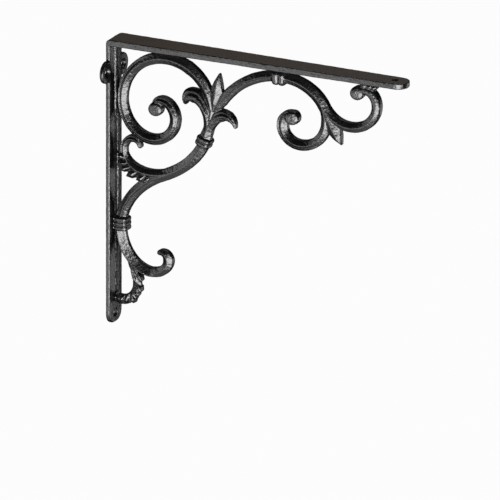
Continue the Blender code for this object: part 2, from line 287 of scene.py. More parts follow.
def on_outer_side(middle):
    """True on the side of the strap that meets the wall and the shelf."""
    past_corner = Vector((CORNER_RADIUS - middle.x, 0, middle.z - SHELF_Z + CORNER_RADIUS))
    in_corner = past_corner.x > 0 and past_corner.z > 0
    flat = middle.x < CLOSE or middle.z > SHELF_Z - CLOSE
    return flat or in_corner and past_corner.length > CORNER_RADIUS - CORNER_SLACK


inner_edges = select_parts(
    strap, "EDGE", lambda middle, edge: on_rim(middle, edge) and not on_outer_side(middle))
bpy.ops.mesh.bevel(offset=INNER_EDGE_RADIUS, segments=4, affect="EDGES")
outer_edges = select_parts(
    strap, "EDGE", lambda middle, edge: on_rim(middle, edge) and on_outer_side(middle))
bpy.ops.mesh.bevel(offset=OUTER_EDGE_RADIUS, segments=2, affect="EDGES")
print("Rim edges:", inner_edges, "inside and", outer_edges, "outside")
bpy.ops.object.mode_set(mode="OBJECT")
print("The strap has", len(strap.data.polygons), "faces")

# %% [markdown]
# ## The ears and the holes
#
# Each ear is a low cylinder with a bevelled rim, standing on the wall beside the plate. They join the
# strap with a Boolean union, and the countersunk screw holes are then cut with a cylinder and a cone.

# %% Helpers for the ears and the holes
def combine(piece, other, operation):
    """Adds another object's shape to the piece or takes it away, and removes that object."""
    apply_modifier(piece, "BOOLEAN", object=other, operation=operation, solver="EXACT")
    bpy.data.objects.remove(other, do_unlink=True)


def add_ear(side):
    deselect_all()
    bpy.ops.mesh.primitive_cylinder_add(
        vertices=40, radius=EAR_RADIUS, depth=EAR_THICKNESS, rotation=(0, math.radians(90), 0),
        location=(EAR_THICKNESS / 2, side * EAR_Y, SHELF_Z - EAR_DROP),
    )
    ear = named("ear")
    edit(ear)
    select_parts(ear, "FACE", lambda middle, face: abs(face.normal.x) > NEARLY_ALL)
    bpy.ops.mesh.bevel(offset=EAR_EDGE_RADIUS, segments=3, affect="EDGES")
    bpy.ops.object.mode_set(mode="OBJECT")
    combine(strap, ear, "UNION")


def cut_hole(place, axis, start, end, first_radius, last_radius):
    """Cuts a round or conical hole in the strap, from start to end along an axis through a place."""
    deselect_all()
    bpy.ops.mesh.primitive_cone_add(
        vertices=32, radius1=first_radius, radius2=last_radius, depth=end - start,
        location=Vector(place) + Vector(axis) * (start + end) / 2,
        rotation=Vector(axis).to_track_quat("Z", "Y").to_euler(),
    )
    combine(strap, named("cutter"), "DIFFERENCE")


print("A screw's countersink is", round(1000 * SCREW_SINK, 1), "mm wide")

# %% Add the ears and cut the screw holes
PAST = 2 * MM
OUT = (1, 0, 0)
DOWN = (0, 0, -1)
screw = SCREW_HOLE / 2
sink = SCREW_SINK / 2
for side in (-1, 1):
    add_ear(side)
    screw_place = (0, side * (EAR_Y + SCREW_OUT), SHELF_Z - EAR_DROP)
    cut_hole(screw_place, OUT, -PAST, EAR_THICKNESS + PAST, screw, screw)
    cut_hole(screw_place, OUT, EAR_THICKNESS - (sink - screw), EAR_THICKNESS + PAST, screw, sink + PAST)
foot_place = (0, 0, FOOT_Z + FOOT_HOLE_UP)
cut_hole(foot_place, OUT, -PAST, PLATE_THICKNESS + PAST, FOOT_HOLE / 2, FOOT_HOLE / 2)
tip_place = (ARM_LENGTH - TIP_HOLE_IN, 0, SHELF_Z)
cut_hole(tip_place, DOWN, -PAST, ARM_THICKNESS_AT_TIP + PAST, TIP_HOLE / 2, TIP_HOLE / 2)
print("The strap with its ears and holes has", len(strap.data.polygons), "faces")

# %% [markdown]
# ## How a scroll bar is drawn
#
# A scroll's middle line is a chain of bends, as a pattern maker draws it with a set of sweeps: so many
# degrees at such a radius. The bar swells and narrows along it while its depth hardly changes. A curve
# with a bevel object would scale both together, so the bar is lofted instead: rings of points are
# worked out along the line and joined by faces.
#
# Across the bar, its face is a profile: heights at places from -1 on the right of its way to 1 on the
# left. Most bars are a plain roof. Some have a groove beside the ridge, some a thin rim along an edge,
# and leaves have veins or flutes. Along a bar one profile may turn into another.

# %% Profiles across a bar's face
ROOF = ((-1, 0.44), (-0.93, 0.54), (-0.07, 0.985), (0.07, 0.985), (0.93, 0.54), (1, 0.44))
GROOVED = ((-1, 0.40), (-0.88, 0.56), (-0.30, 0.84), (-0.17, 0.58), (-0.05, 0.99), (0.07, 0.99),
           (1, 0.44))
RIMMED = ((-1, 0.42), (-0.92, 0.78), (-0.80, 0.80), (-0.66, 0.50), (-0.08, 0.99), (0.06, 0.99),
          (1, 0.42))
SLAB = ((-1, 0.62), (-0.88, 0.97), (-0.78, 1.0), (0.82, 0.42), (1, 0.26))
ROUND = ((-1, 0.30), (-0.85, 0.66), (-0.5, 0.91), (0, 1), (0.5, 0.91), (0.85, 0.66), (1, 0.30))
CURLED = ((-1, 0.38), (-0.66, 0.80), (-0.54, 0.82), (-0.38, 0.55), (-0.02, 0.96), (0.35, 1.0), (1, 0.48))
FLUTED = ((-1, 0.30), (-0.70, 0.90), (-0.36, 0.56), (0, 1.0), (0.36, 0.56), (0.70, 0.90), (1, 0.30))
VEINED = ((-1, 0.40), (-0.74, 0.84), (-0.48, 0.56), (-0.12, 0.98), (0.12, 0.98), (0.48, 0.56),
          (0.74, 0.84), (1, 0.40))


def turned(profile):
    """The profile with its left and right sides changed over."""
    return tuple((-u, v) for u, v in reversed(profile))


def height_at(profile, u):
    """The height of a profile at u, or of any table of (place, value) rows at a place."""
    for (u0, v0), (u1, v1) in zip(profile, profile[1:]):
        if u <= u1:
            return v0 + (v1 - v0) * (u - u0) / (u1 - u0)
    return profile[-1][1]


def fade(share, start, end):
    """A smooth step from 0 at start to 1 at end."""
    t = min(1, max(0, (share - start) / (end - start)))
    return t * t * (3 - 2 * t)


def between(first, second, start, end):
    """A relief that turns from one profile to another between two shares of a bar's length."""
    def relief(share, u):
        mix = fade(share, start, end)
        return height_at(first, u) * (1 - mix) + height_at(second, u) * mix
    return relief


print("A roof's ridge stands at", height_at(ROOF, 0), "of the half depth")

# %% A bar's stations
STATION_STEP = 1.0

# How a bar ends: how far out past its end in shares of its width, and the share of its width there.
NOSE = ((0.10, 0.96), (0.20, 0.88), (0.30, 0.74), (0.38, 0.56), (0.44, 0.34))


def chain_stations(start, heading, first_width, bends):
    """Stations (x, drop, heading, width) about a millimetre apart along a chain of bends."""
    x, z = start
    angle = math.radians(heading)
    width = first_width
    stations = [(x, z, angle, width)]
    for turn, first_radius, last_radius, last_width in bends:
        length = abs(math.radians(turn)) * (first_radius + last_radius) / 2
        steps = max(2, round(length / STATION_STEP))
        step_turn = math.radians(turn) / steps
        for step in range(steps):
            radius = first_radius + (last_radius - first_radius) * (step + 0.5) / steps
            chord = 2 * radius * math.sin(abs(step_turn) / 2)
            x += chord * math.cos(angle + step_turn / 2)
            z += chord * math.sin(angle + step_turn / 2)
            angle += step_turn
            stations.append((x, z, angle, width + (last_width - width) * (step + 1) / steps))
        width = last_width
    return stations


def rounded_ends(stations, round_start):
    """The stations with narrowing ones past the end, and past the start where that one shows too."""
    def nose(station, way):
        x, z, angle, width = station
        step_x = way * width * math.cos(angle)
        step_z = way * width * math.sin(angle)
        return [(x + step_x * out, z + step_z * out, angle, width * share) for out, share in NOSE]

    head = nose(stations[0], -1)[::-1] if round_start else []
    return head + stations + nose(stations[-1], 1)


print("Stations stand", STATION_STEP, "mm apart")

# %% [markdown]
# The rings of points stand across the line at its stations. Where a bar is narrower than its full
# width, it is also cast thinner, but less so. A bar's end is closed by a rounded nose, while its start
# is mostly flat, because it is buried in another form.

# %% A bar's rings of points and its mesh
BAR_DEPTH = 8.4 * MM
LEAF_DEPTH = 9.4 * MM
FULL_BAR_WIDTH = 6.5
THINNING = 0.6
FACE_SAMPLES = 41
plain = between(ROOF, ROOF, 0, 1)


def section(relief, share):
    """The ring of points across a bar: its near face from left to right, then its far face back."""
    across = [1 - 2 * k / (FACE_SAMPLES - 1) for k in range(FACE_SAMPLES)]
    near = [(1, 0)] + [(u, relief(share, u)) for u in across] + [(-1, 0)]
    return near + [(u, -v) for u, v in near[-2:0:-1]]


def mesh_through(name, rings):
    """A closed mesh object through rings of points, with a cap on the first and the last."""
    shape = bmesh.new()
    loops = [[shape.verts.new(point) for point in ring] for ring in rings]
    for here, there in zip(loops, loops[1:]):
        for a, b, c, d in zip(here, here[1:] + here[:1], there[1:] + there[:1], there):
            shape.faces.new((a, b, c, d))
    shape.faces.new(loops[0])
    shape.faces.new(loops[-1])
    bmesh.ops.recalc_face_normals(shape, faces=shape.faces[:])
    mesh = bpy.data.meshes.new(name)
    shape.to_mesh(mesh)
    shape.free()
    piece = bpy.data.objects.new(name, mesh)
    bpy.context.scene.collection.objects.link(piece)
    return piece


def loft_bar(name, stations, depth=BAR_DEPTH, relief=plain, round_start=False):
    """A bar along stations, whose relief gives the height of its face from a share of its length."""
    rings = []
    stations = rounded_ends(stations, round_start)
    for number, (x, z, angle, width) in enumerate(stations):
        across = Vector((-math.sin(angle), 0, math.cos(angle))) * width * MM / 2
        deep = Vector((0, -depth / 2 * min(1.0, width / FULL_BAR_WIDTH) ** THINNING, 0))
        centre = Vector((x * MM, 0, SHELF_Z + z * MM))
        share = number / (len(stations) - 1)
        rings.append([centre + across * u + deep * v for u, v in section(relief, share)])
    return mesh_through(name, rings)


print("A bar's section has", len(section(plain, 0)), "points")

# %% [markdown]
# ## The large ring scroll
#
# The ring starts at the leaf cluster, climbs to the arm, rolls down along the wall and winds in to its
# eye. Where it winds in, a thin rim follows its outer edge with a groove inside it. Its table, like
# those below, gives the start, the heading in degrees and the first width, and then the bends: degrees
# turned to the left, the radius at the bend's start and at its end, and the width at its end.

# %% Loft the ring
RING = (
    (80.0, -43.5), 94, 5.0,
    (
        (33, 35.0, 35.6, 8.2), (25, 35.6, 36.0, 9.0), (25, 36.0, 36.5, 8.4),
        (101, 36.5, 32.0, 7.1), (78, 32.0, 19.0, 7.8), (118, 19.0, 14.5, 7.6),
        (99, 14.5, 4.0, 5.8), (55, 4.5, 5.0, 3.0),
    ),
)

ring = loft_bar("ring", chain_stations(*RING), relief=between(ROOF, RIMMED, 0.28, 0.40))
print("The ring has", len(ring.data.vertices), "points")

# %% [markdown]
# ## The outer bar and its scrolls
#
# The outer bar leaves the leaf cluster beside the ring, passes under its collar at the arm, and parts
# in two: one scroll winds back towards the wall, the other rolls under the arm's end. Between the
# cluster and the collar a groove runs under its ridge, which makes a flat moulding below it.

# %% Loft the outer bar and its two scrolls
RIGHT_BAR = (
    (83.0, -44.0), 62, 5.0,
    (
        (-8, 69.5, 67.0, 8.0), (-49, 67.0, 52.5, 7.6), (-42, 52.5, 34.0, 8.6),
        (-23, 34.0, 24.0, 8.8), (30, 27.5, 25.5, 7.4), (58, 25.5, 21.5, 7.2),
        (112, 21.5, 9.0, 7.4), (58, 9.0, 10.5, 6.4), (50, 6.5, 5.0, 6.0),
    ),
)
LEFT_SCROLL = (
    (157.5, -15.5), -36, 4.6,
    (
        (-56, 39.0, 20.0, 7.4), (-59, 20.0, 20.5, 7.4), (-81, 20.5, 13.0, 7.8),
        (-60, 13.0, 9.5, 8.6), (-61, 9.5, 6.0, 6.2),
    ),
)


def right_bar_relief(share, u):
    """Grooved up to the arm's collar, then a roof, and round in the last curl."""
    if share < 0.5:
        return between(GROOVED, ROOF, 0.27, 0.32)(share, u)
    return between(ROOF, ROUND, 0.74, 0.84)(share, u)


right_bar = loft_bar("right_bar", chain_stations(*RIGHT_BAR), relief=right_bar_relief)
left_scroll = loft_bar(
    "left_scroll", chain_stations(*LEFT_SCROLL), relief=between(ROOF, turned(RIMMED), 0.42, 0.60))
print("The outer bar and its scroll have", len(right_bar.data.vertices) + len(left_scroll.data.vertices))

# %% [markdown]
# ## The stem
#
# The stem rises from the collar on the plate, runs out under the ring and turns up through its own
# collar into the leaf cluster. Its lower part has the same grooved moulding as the outer bar.

# %% Loft the stem
STEM = (
    (75.5, -62.5), -97, 8.6,
    ((-60, 17.0, 79.0, 8.6), (40, 77.0, 41.0, 8.0), (30, 41.0, 14.0, 7.6)),
)
STEM_TOP = ((80.5, -43.5), -96, 5.0, ((-17, 65.0, 69.0, 8.6),))

stem = loft_bar("stem", chain_stations(*STEM), relief=between(ROOF, turned(GROOVED), 0.48, 0.58))
stem_top = loft_bar("stem_top", chain_stations(*STEM_TOP))
print("The stem has", len(stem.data.vertices) + len(stem_top.data.vertices), "points")

# %% [markdown]
# ## The leaf cluster
#
# Two curled leaves spring from the stem's collar, and a pointed leaf stands between the ring and the
# outer bar. A curled leaf starts as a roof and ends with veins along it. The pointed leaves, the one
# here and the smaller one where the outer bar parts, are short bars with a high ridge that swell and
# come to a point. Their tables give base, tip, and widths at equal steps between them.

# %% Write down the leaves
LEFT_LEAF = (
    (75.5, -62.5), 64, 6.5,
    ((59, 18.5, 26.0, 7.8), (27, 26.0, 6.2, 11.2), (60, 6.2, 6.2, 10.6), (60, 6.2, 6.2, 3.4)),
)
RIGHT_LEAF = (
    (75.8, -62.8), 76, 6.4,
    ((-62, 33.5, 6.8, 9.2), (-95, 6.8, 10.0, 2.4)),
)
SPEAR = ((81.4, -45.0), (86.0, -16.2), (3.0, 5.6, 9.2, 9.2, 5.8, 1.8))
SMALL_SPEAR = ((168.6, -28.3), (183.0, -53.8), (2.0, 6.4, 10.6, 11.2, 7.4, 1.8))
SPEAR_DEPTH = 9.0 * MM
print("The upright leaf is", round((Vector(SPEAR[1]) - Vector(SPEAR[0])).length), "mm long")

# %% Loft the leaves
def straight_leaf(name, base, tip, widths):
    """A straight pointed leaf with widths at equal steps from its base to its tip."""
    run = Vector(tip) - Vector(base)
    angle = math.atan2(run.y, run.x)
    steps = round(run.length / STATION_STEP)
    stations = []
    for step in range(steps + 1):
        place = step / steps * (len(widths) - 1)
        index = min(int(place), len(widths) - 2)
        width = widths[index] + (widths[index + 1] - widths[index]) * (place - index)
        x, drop = Vector(base) + run * step / steps
        stations.append((x, drop, angle, width))
    return loft_bar(name, stations, depth=SPEAR_DEPTH)


left_relief = between(ROOF, CURLED, 0.30, 0.55)
right_relief = between(ROOF, VEINED, 0.30, 0.55)
left_leaf = loft_bar("left_leaf", chain_stations(*LEFT_LEAF), LEAF_DEPTH, left_relief, round_start=True)
right_leaf = loft_bar("right_leaf", chain_stations(*RIGHT_LEAF), LEAF_DEPTH, right_relief, round_start=True)
spear = straight_leaf("spear", *SPEAR)
small_spear = straight_leaf("small_spear", *SMALL_SPEAR)
leaves = [left_leaf, right_leaf, spear, small_spear]
print("The leaves have", sum(len(leaf.data.vertices) for leaf in leaves), "points")

# %% [markdown]
# ## The crest and the tail
#
# Where the stem meets the plate, a small hook curls up over a spray of leaf lobes, and under the plate's
# collar the tail parts into a hook and a lobed leaf that runs back to the plate. Their bars come first.

# %% Loft the crest and the tail
CREST = (
    (47.5, -95.0), 200, 6.5,
    ((-35, 58.5, 22.0, 7.0), (-59, 22.0, 12.5, 5.0), (-98, 12.5, 5.0, 5.6), (-91, 5.0, 6.0, 3.8)),
)
TAIL_HOOK = (
    (8.0, -137.5), -92, 7.4,
    ((101, 41.5, 14.0, 7.0), (93, 14.0, 6.0, 7.8), (104, 6.0, 4.0, 4.0)),
)
TAIL_LEAF = (
    (12.0, -157.5), -61, 5.0,
    ((-23, 106.5, 15.0, 6.6), (-108, 15.0, 9.5, 7.4)),
)
TAIL_LEAF_DEPTH = 5.2 * MM

crest = loft_bar("crest", chain_stations(*CREST), relief=between(ROOF, turned(RIMMED), 0.42, 0.60))
tail_hook = loft_bar("tail_hook", chain_stations(*TAIL_HOOK), relief=between(SLAB, ROOF, 0.50, 0.66))
tail_leaf = loft_bar("tail_leaf", chain_stations(*TAIL_LEAF), depth=TAIL_LEAF_DEPTH)
sprays = [crest, tail_hook, tail_leaf]
print("The crest, the hook and the tail leaf have", sum(len(bar.data.vertices) for bar in sprays), "points")

# %% [markdown]
# ## The leaf lobes
#
# The lobes of the measured model make a shallow body here. Over it lie rounded lobes that stand higher,
# each narrow at its base and broad and blunt at its tip, with deep gaps between them. Those of the
# crest and at the foot of the tail leaf are swollen, and those higher on the tail leaf are fluted. Each
# is a short straight bar: its table gives base, tip and width, and rows of (share of the length, share
# of the width) shape it.

# %% Write down the lobes
BODY_DEPTH = 5.8 * MM
BODY_ROWS = ((0.0, 0.60), (0.35, 1.0), (0.72, 0.90), (1.0, 0.24))
BODY_LOBES = (
    ((31.0, -98.0), (19.4, -104.6), 6.4), ((23.5, -96.8), (11.6, -102.8), 7.0),
    ((17.5, -94.2), (5.6, -98.6), 6.4), ((14.0, -91.0), (4.2, -93.6), 5.6),
    ((12.0, -88.0), (4.6, -87.6), 5.0),
    ((13.8, -163.5), (21.6, -178.2), 5.4), ((18.8, -176.5), (22.4, -187.0), 5.4),
    ((19.4, -183.5), (20.4, -193.0), 5.4), ((17.0, -189.0), (17.2, -197.0), 5.2),
    ((12.5, -192.0), (10.8, -197.8), 5.8),
)
TAIL_ROWS = ((0.0, 0.28), (0.30, 0.66), (0.80, 1.0), (1.0, 0.62))
CREST_DEPTH = 11.6 * MM
CREST_ROWS = ((0.0, 0.10), (0.30, 0.34), (0.85, 1.0), (1.0, 0.66))
CREST_LOBES = (
    ((34.0, -98.8), (26.4, -104.4), 2.4), ((31.6, -97.4), (22.0, -103.4), 5.4),
    ((25.4, -95.4), (14.4, -101.4), 5.8), ((19.6, -93.9), (8.2, -97.4), 4.4),
    ((18.2, -92.0), (6.8, -92.8), 3.6), ((15.4, -90.2), (5.8, -86.4), 4.2),
)
TAIL_DEPTH = 8.8 * MM
TAIL_LOBES = (
    ((16.6, -166.6), (24.6, -179.2), 3.4), ((15.4, -168.0), (20.2, -180.6), 3.4),
    ((18.6, -180.2), (24.2, -187.2), 5.0), ((17.8, -185.4), (22.3, -190.2), 4.2),
)
FOOT_LOBES = (
    ((16.3, -187.6), (18.5, -196.2), 3.9), ((14.7, -189.2), (12.2, -197.0), 3.9),
    ((10.6, -191.2), (8.4, -196.2), 3.0),
)
print("The crest has", len(CREST_LOBES), "lobes, the tail", len(TAIL_LOBES) + len(FOOT_LOBES))

# %% Lay the lobes
def lay_lobe(name, base, tip, width, rows, depth, relief):
    """A straight lobe, shortened by its rounded nose so that it ends at its tip."""
    run = Vector(tip) - Vector(base)
    run *= 1 - NOSE[-1][0] * width * rows[-1][1] / run.length
    angle = math.atan2(run.y, run.x)
    steps = round(run.length / STATION_STEP * 2)
    stations = []
    for step in range(steps + 1):
        share = step / steps
        x, drop = Vector(base) + run * share
        stations.append((x, drop, angle, width * height_at(rows, share)))
    return loft_bar(name, stations, depth, relief)


def full_depth(depth, width):
    """The depth that a narrow lobe needs to come out as deep as wanted in spite of the thinning."""
    return depth / min(1.0, width / FULL_BAR_WIDTH) ** THINNING


def lay_lobes(word, table, rows, depth, relief):
    """A lobe for each row of a table of bases, tips and widths."""
    return [
        lay_lobe(f"{word}_{k}", base, tip, width, rows, full_depth(depth, width), relief)
        for k, (base, tip, width) in enumerate(table)
    ]


swollen = between(ROUND, ROUND, 0, 1)
fluted = between(FLUTED, FLUTED, 0, 1)
lobes = [lay_lobe(f"body_{k}", *row, BODY_ROWS, BODY_DEPTH, plain) for k, row in enumerate(BODY_LOBES)]
lobes += lay_lobes("crest", CREST_LOBES, CREST_ROWS, CREST_DEPTH, swollen)
lobes += lay_lobes("tail", TAIL_LOBES, TAIL_ROWS, TAIL_DEPTH, fluted)
lobes += lay_lobes("foot", FOOT_LOBES, TAIL_ROWS, TAIL_DEPTH, swollen)
print("There are", len(lobes), "leaf lobes")

# %% [markdown]
# ## The neck
#
# Under the arm's end, the last scroll is tied to the arm by a short neck of three soft lumps. They are
# lobes too, a little narrower at both ends.

# %% Lay the neck
NECK_DEPTH = 8.6 * MM
NECK_ROWS = ((0, 0.7), (0.5, 1), (1, 0.7))
NECK_LUMPS = (
    ((199.0, -7.6), (205.6, -6.2), 4.6), ((203.5, -8.6), (209.5, -5.6), 4.2),
    ((207.5, -8.8), (212.4, -6.4), 4.0),
)
lobes += lay_lobes("neck", NECK_LUMPS, NECK_ROWS, NECK_DEPTH, swollen)
print("With the neck there are", len(lobes), "lobes")

# %% [markdown]
# ## The rib
#
# A low rib runs down the middle of the plate and along under the arm, and the scrollwork grows from it.
# On the plate it is soft and half-round above and below, and a thin crest in the middle, so it is lofted
# with the bars' function: a bar that lies half sunk in the strap, whose width is twice the rib's height.

# %% Loft the rib
HALF_ROUND = ((-1, 0.9), (0, 0.9), (0.15, 0.86), (0.40, 0.68), (0.70, 0.42), (1, 0.14))
THIN_CREST = ((-1, 0.9), (0, 0.9), (0.25, 0.50), (0.60, 0.24), (1, 0.12))
RIB_DEPTH = 9.4 * MM

# Each rib's start, heading and length, and the bar's widths at shares of its length.
PLATE_RIB = (
    (3.3, -3.0), -90, 186.0, ((0, 4.2), (0.20, 3.8), (0.34, 3.2), (0.62, 3.0), (0.74, 2.6), (1, 2.4)),
)
ARM_RIB = ((212.0, -4.5), 180, 209.0, ((0, 4.2), (1, 4.2)))


def rib_stations(start, heading, length, rows):
    steps = round(length / STATION_STEP)
    angle = math.radians(heading)
    stations = []
    for step in range(steps + 1):
        share = step / steps
        x = start[0] + length * share * math.cos(angle)
        z = start[1] + length * share * math.sin(angle)
        stations.append((x, z, angle, height_at(rows, share)))
    return stations


def plate_rib_relief(share, u):
    """Half-round, then a thin crest in the plate's middle, and half-round again."""
    if share < 0.5:
        return between(HALF_ROUND, THIN_CREST, 0.22, 0.36)(share, u)
    return between(THIN_CREST, HALF_ROUND, 0.62, 0.74)(share, u)


half_round = between(HALF_ROUND, HALF_ROUND, 0, 1)
plate_rib = loft_bar("plate_rib", rib_stations(*PLATE_RIB), RIB_DEPTH, plate_rib_relief)
arm_rib = loft_bar("arm_rib", rib_stations(*ARM_RIB), RIB_DEPTH, half_round, round_start=True)
print("The rib has", len(plate_rib.data.vertices) + len(arm_rib.data.vertices), "points")

# %% [markdown]
# ## The eyes and the collars
#
# An eye is the thick round button in which a scroll ends. It starts as a ball, and a formula moves its
# points: they are flattened on both sides to a nearly flat face with a full rim, and the button gets
# thinner away from the wall, so that its faces lean a little.
#
# A collar is a row of two or three beads round the bar: each is a box with its long edges rounded wide
# and its rims rounded tight, so that it looks like a soft band pressed round the iron.

# %% Model the eyes
# Each eye's name, centre, radius and depth.
EYES = (
    ("ring_eye", (35.8, -48.9), 5.3, 9.2), ("left_eye", (144.6, -39.6), 5.3, 9.2),
    ("right_eye", (196.2, -13.5), 5.2, 9.2),
)
EYE_SQUARENESS = 4.5
EYE_TILT = 0.18


def add_eye(name, centre, radius, depth):
    """A button round a centre: the squarer the formula, the flatter its faces."""
    deselect_all()
    bpy.ops.mesh.primitive_uv_sphere_add(
        segments=32, ring_count=16, radius=radius * MM,
        location=(centre[0] * MM, 0, SHELF_Z + centre[1] * MM), rotation=(math.radians(90), 0, 0),
    )
    piece = named(name)
    for v in piece.data.vertices:
        outward = (v.co.x - centre[0] * MM) / (radius * MM)
        across = math.hypot(outward, (v.co.z - SHELF_Z) / (radius * MM) - centre[1] / radius)
        bulge = (1 - min(1, across) ** EYE_SQUARENESS) ** (1 / EYE_SQUARENESS)
        v.co.y = math.copysign(depth / 2 * MM * bulge * (1 - EYE_TILT * outward), v.co.y)
    return piece


eyes = [add_eye(*row) for row in EYES]
print("There are", len(eyes), "eyes")

# %% Model the collars
# A bead is this much longer than its share of the collar, and its two roundings are shares of its
# width and of its length.
BEAD_OVERLAP = 1.12
BEAD_CORNER = 0.30
BEAD_RIM = 0.40

# Each collar's name, centre, heading, width, depth and length, and how many beads it has.
COLLARS = (
    ("stem_collar", (73.8, -67.7), 68, 11.6, 11.4, 6.6, 2),
    ("wall_collar", (8.4, -138.1), -90, 10.8, 11.4, 9.6, 3),
    ("arm_collar", (134.0, -11.3), 0, 10.8, 11.0, 9.6, 2),
)


def add_bead(name, centre, heading, width, depth, length, offset):
    """A bead across a bar with this heading, at an offset along the bar from the collar's centre."""
    deselect_all()
    bpy.ops.mesh.primitive_cube_add(size=1)
    bpy.ops.transform.resize(value=(length * MM, depth * MM, width * MM))
    piece = named(name)
    edit(piece)
    select_parts(piece, "EDGE", lambda middle, edge: abs(middle.x) < CLOSE)
    bpy.ops.mesh.bevel(offset=BEAD_CORNER * width * MM, segments=5, affect="EDGES")
    select_parts(piece, "FACE", lambda middle, face: abs(face.normal.x) > NEARLY_ALL)
    bpy.ops.mesh.bevel(offset=BEAD_RIM * length * MM, segments=4, affect="EDGES")
    bpy.ops.object.mode_set(mode="OBJECT")
    angle = math.radians(heading)
    along = Vector((math.cos(angle), 0, math.sin(angle)))
    piece.location = Vector((centre[0] * MM, 0, SHELF_Z + centre[1] * MM)) + along * offset * MM
    piece.rotation_euler = (0, -angle, 0)
    deselect_all()
    piece.select_set(True)
    bpy.context.view_layer.objects.active = piece
    return named(name)


beads = []
for name, centre, heading, width, depth, length, count in COLLARS:
    step = length / count
    for k in range(count):
        offset = (k - (count - 1) / 2) * step
        beads.append(add_bead(f"{name}_{k}", centre, heading, width, depth, step * BEAD_OVERLAP, offset))
print("There are", len(beads), "beads")

# %% [markdown]
# ## Fusing the casting
#
# The real bracket is one piece of iron, so the forms are joined and remeshed on a fine grid of voxels.
# That makes one closed skin with small fillets where forms meet, as molten iron leaves them. A light
# smoothing takes out the grid's steps.

# %% Join, remesh and smooth
VOXEL = 0.36 * MM

forms = [strap, ring, right_bar, left_scroll, stem, stem_top] + leaves + sprays
forms += [plate_rib, arm_rib] + lobes + eyes + beads
deselect_all()
for form in forms:
    form.select_set(True)
bpy.context.view_layer.objects.active = strap
bpy.ops.object.join()
bracket = named("cast_bracket")
apply_modifier(bracket, "REMESH", mode="VOXEL", voxel_size=VOXEL, use_smooth_shade=True)
print("The fused skin has", len(bracket.data.polygons), "faces")
apply_modifier(bracket, "SMOOTH", factor=0.5, iterations=1)

# %% [markdown]
# ## The swell of the plate
#
# The plate's face is slightly domed, which shows in how the light runs off it to both sides. A formula
# moves the fused skin's points: most in the middle of the plate's face, less towards its two sides and
# its ends, and not at all on the back.

# %% Swell the plate
# Out from the wall, the swell starts at the first distance and has faded at the second. Up the plate,
# it fades in and out between pairs of distances from the foot and from the shelf face.
PLATE_DOME = 0.6 * MM
DOME_STARTS_AT = 2.0 * MM
DOME_FADES_AT = 10 * MM
DOME_ABOVE_FOOT = (6 * MM, 24 * MM)
DOME_BELOW_SHELF = (12 * MM, 5 * MM)

for v in bracket.data.vertices:
    near_plate = fade(v.co.x, DOME_STARTS_AT, PLATE_THICKNESS)
    near_plate *= 1 - fade(v.co.x, PLATE_THICKNESS, DOME_FADES_AT)
    between_ends = 1 - fade(v.co.z, SHELF_Z - DOME_BELOW_SHELF[0], SHELF_Z - DOME_BELOW_SHELF[1])
    between_ends *= fade(v.co.z, FOOT_Z + DOME_ABOVE_FOOT[0], FOOT_Z + DOME_ABOVE_FOOT[1])
    across = min(1, abs(v.co.y) / (PLATE_WIDTH / 2))
    v.co.x += PLATE_DOME * (1 - across ** 2) * near_plate * between_ends
print("The plate's face swells", round(1000 * PLATE_DOME, 1), "mm in its middle")

# %% [markdown]
# ## The skin of the casting
#
# Sand leaves the iron's skin uneven: broad soft waves a few millimetres long and small lumps on them.
# Two Displace modifiers with cloud textures move the skin by a tenth of a millimetre or so. Then a
# decimation spends the triangles where the shape bends, and the few points that the lumps have pushed
# past the measured model's box are moved back on to it.

# %% Add the casting's waves, then decimate
# Each texture's name, the size of its clouds and how far it moves the skin, in millimetres.
LUMPS = (("waves", 5.0, 0.22), ("lumps", 1.7, 0.16))
MOST_TRIANGLES = 190000

for name, size, height in LUMPS:
    clouds = bpy.data.textures.new(name, "CLOUDS")
    clouds.noise_scale = size * MM
    clouds.noise_depth = 1
    apply_modifier(
        bracket, "DISPLACE", texture=clouds, texture_coords="LOCAL", strength=height * MM, mid_level=0.5)
share = min(1.0, MOST_TRIANGLES / (2 * len(bracket.data.polygons)))
apply_modifier(bracket, "DECIMATE", ratio=share)
low, high = cad_box
for v in bracket.data.vertices:
    v.co = [min(max(c, a), b) for c, a, b in zip(v.co, low, high)]
deselect_all()
bracket.select_set(True)
bpy.context.view_layer.objects.active = bracket
bpy.ops.object.shade_smooth()
print("The bracket has", len(bracket.data.polygons), "faces")

# %% [markdown]
# ## Shader maths
#
# A class wraps a node's output so that shader maths reads like ordinary Python: each operator adds the
# Math node that it stands for. Any other node comes from one method, which takes the node's kind, its
# settings, and its inputs by name, or by number where two inputs share a name: i0 is the first.

# %% A socket that can be added and multiplied
class Value:
    def __init__(self, tree, socket):
        self.tree = tree
        self.socket = socket

    def node(self, kind, settings=None, output=0, **inputs):
        """Adds a node, makes its settings, feeds its inputs, and wraps one of its outputs."""
        made = self.tree.nodes.new(kind)
        for name, value in (settings or {}).items():
            setattr(made, name, value)
        for name, value in inputs.items():
            key = int(name[1:]) if name[1:].isdigit() else name.replace("_", " ")
            socket = made.inputs[key]
            if isinstance(value, Value):
                self.tree.links.new(value.socket, socket)
            else:
                socket.default_value = value
        return Value(self.tree, made.outputs[output])

    def worked_out(self, operation, other):
        return self.node("ShaderNodeMath", {"operation": operation}, i0=self, i1=other)

    def __add__(self, other):
        return self.worked_out("ADD", other)

    def __mul__(self, other):
        return self.worked_out("MULTIPLY", other)

    __radd__ = __add__
    __rmul__ = __mul__


print("Shader maths ready")

# %% [markdown]
# ## Black paint on cast iron
#
# The paint is near black and satin. It is dielectric, so its brightness comes almost wholly from what
# it reflects, and the look lives in the roughness and in the bump: an orange-peel skin over sand-cast
# grain. Faces that look up are duller, and dust on the shelf face warms its black to brown.

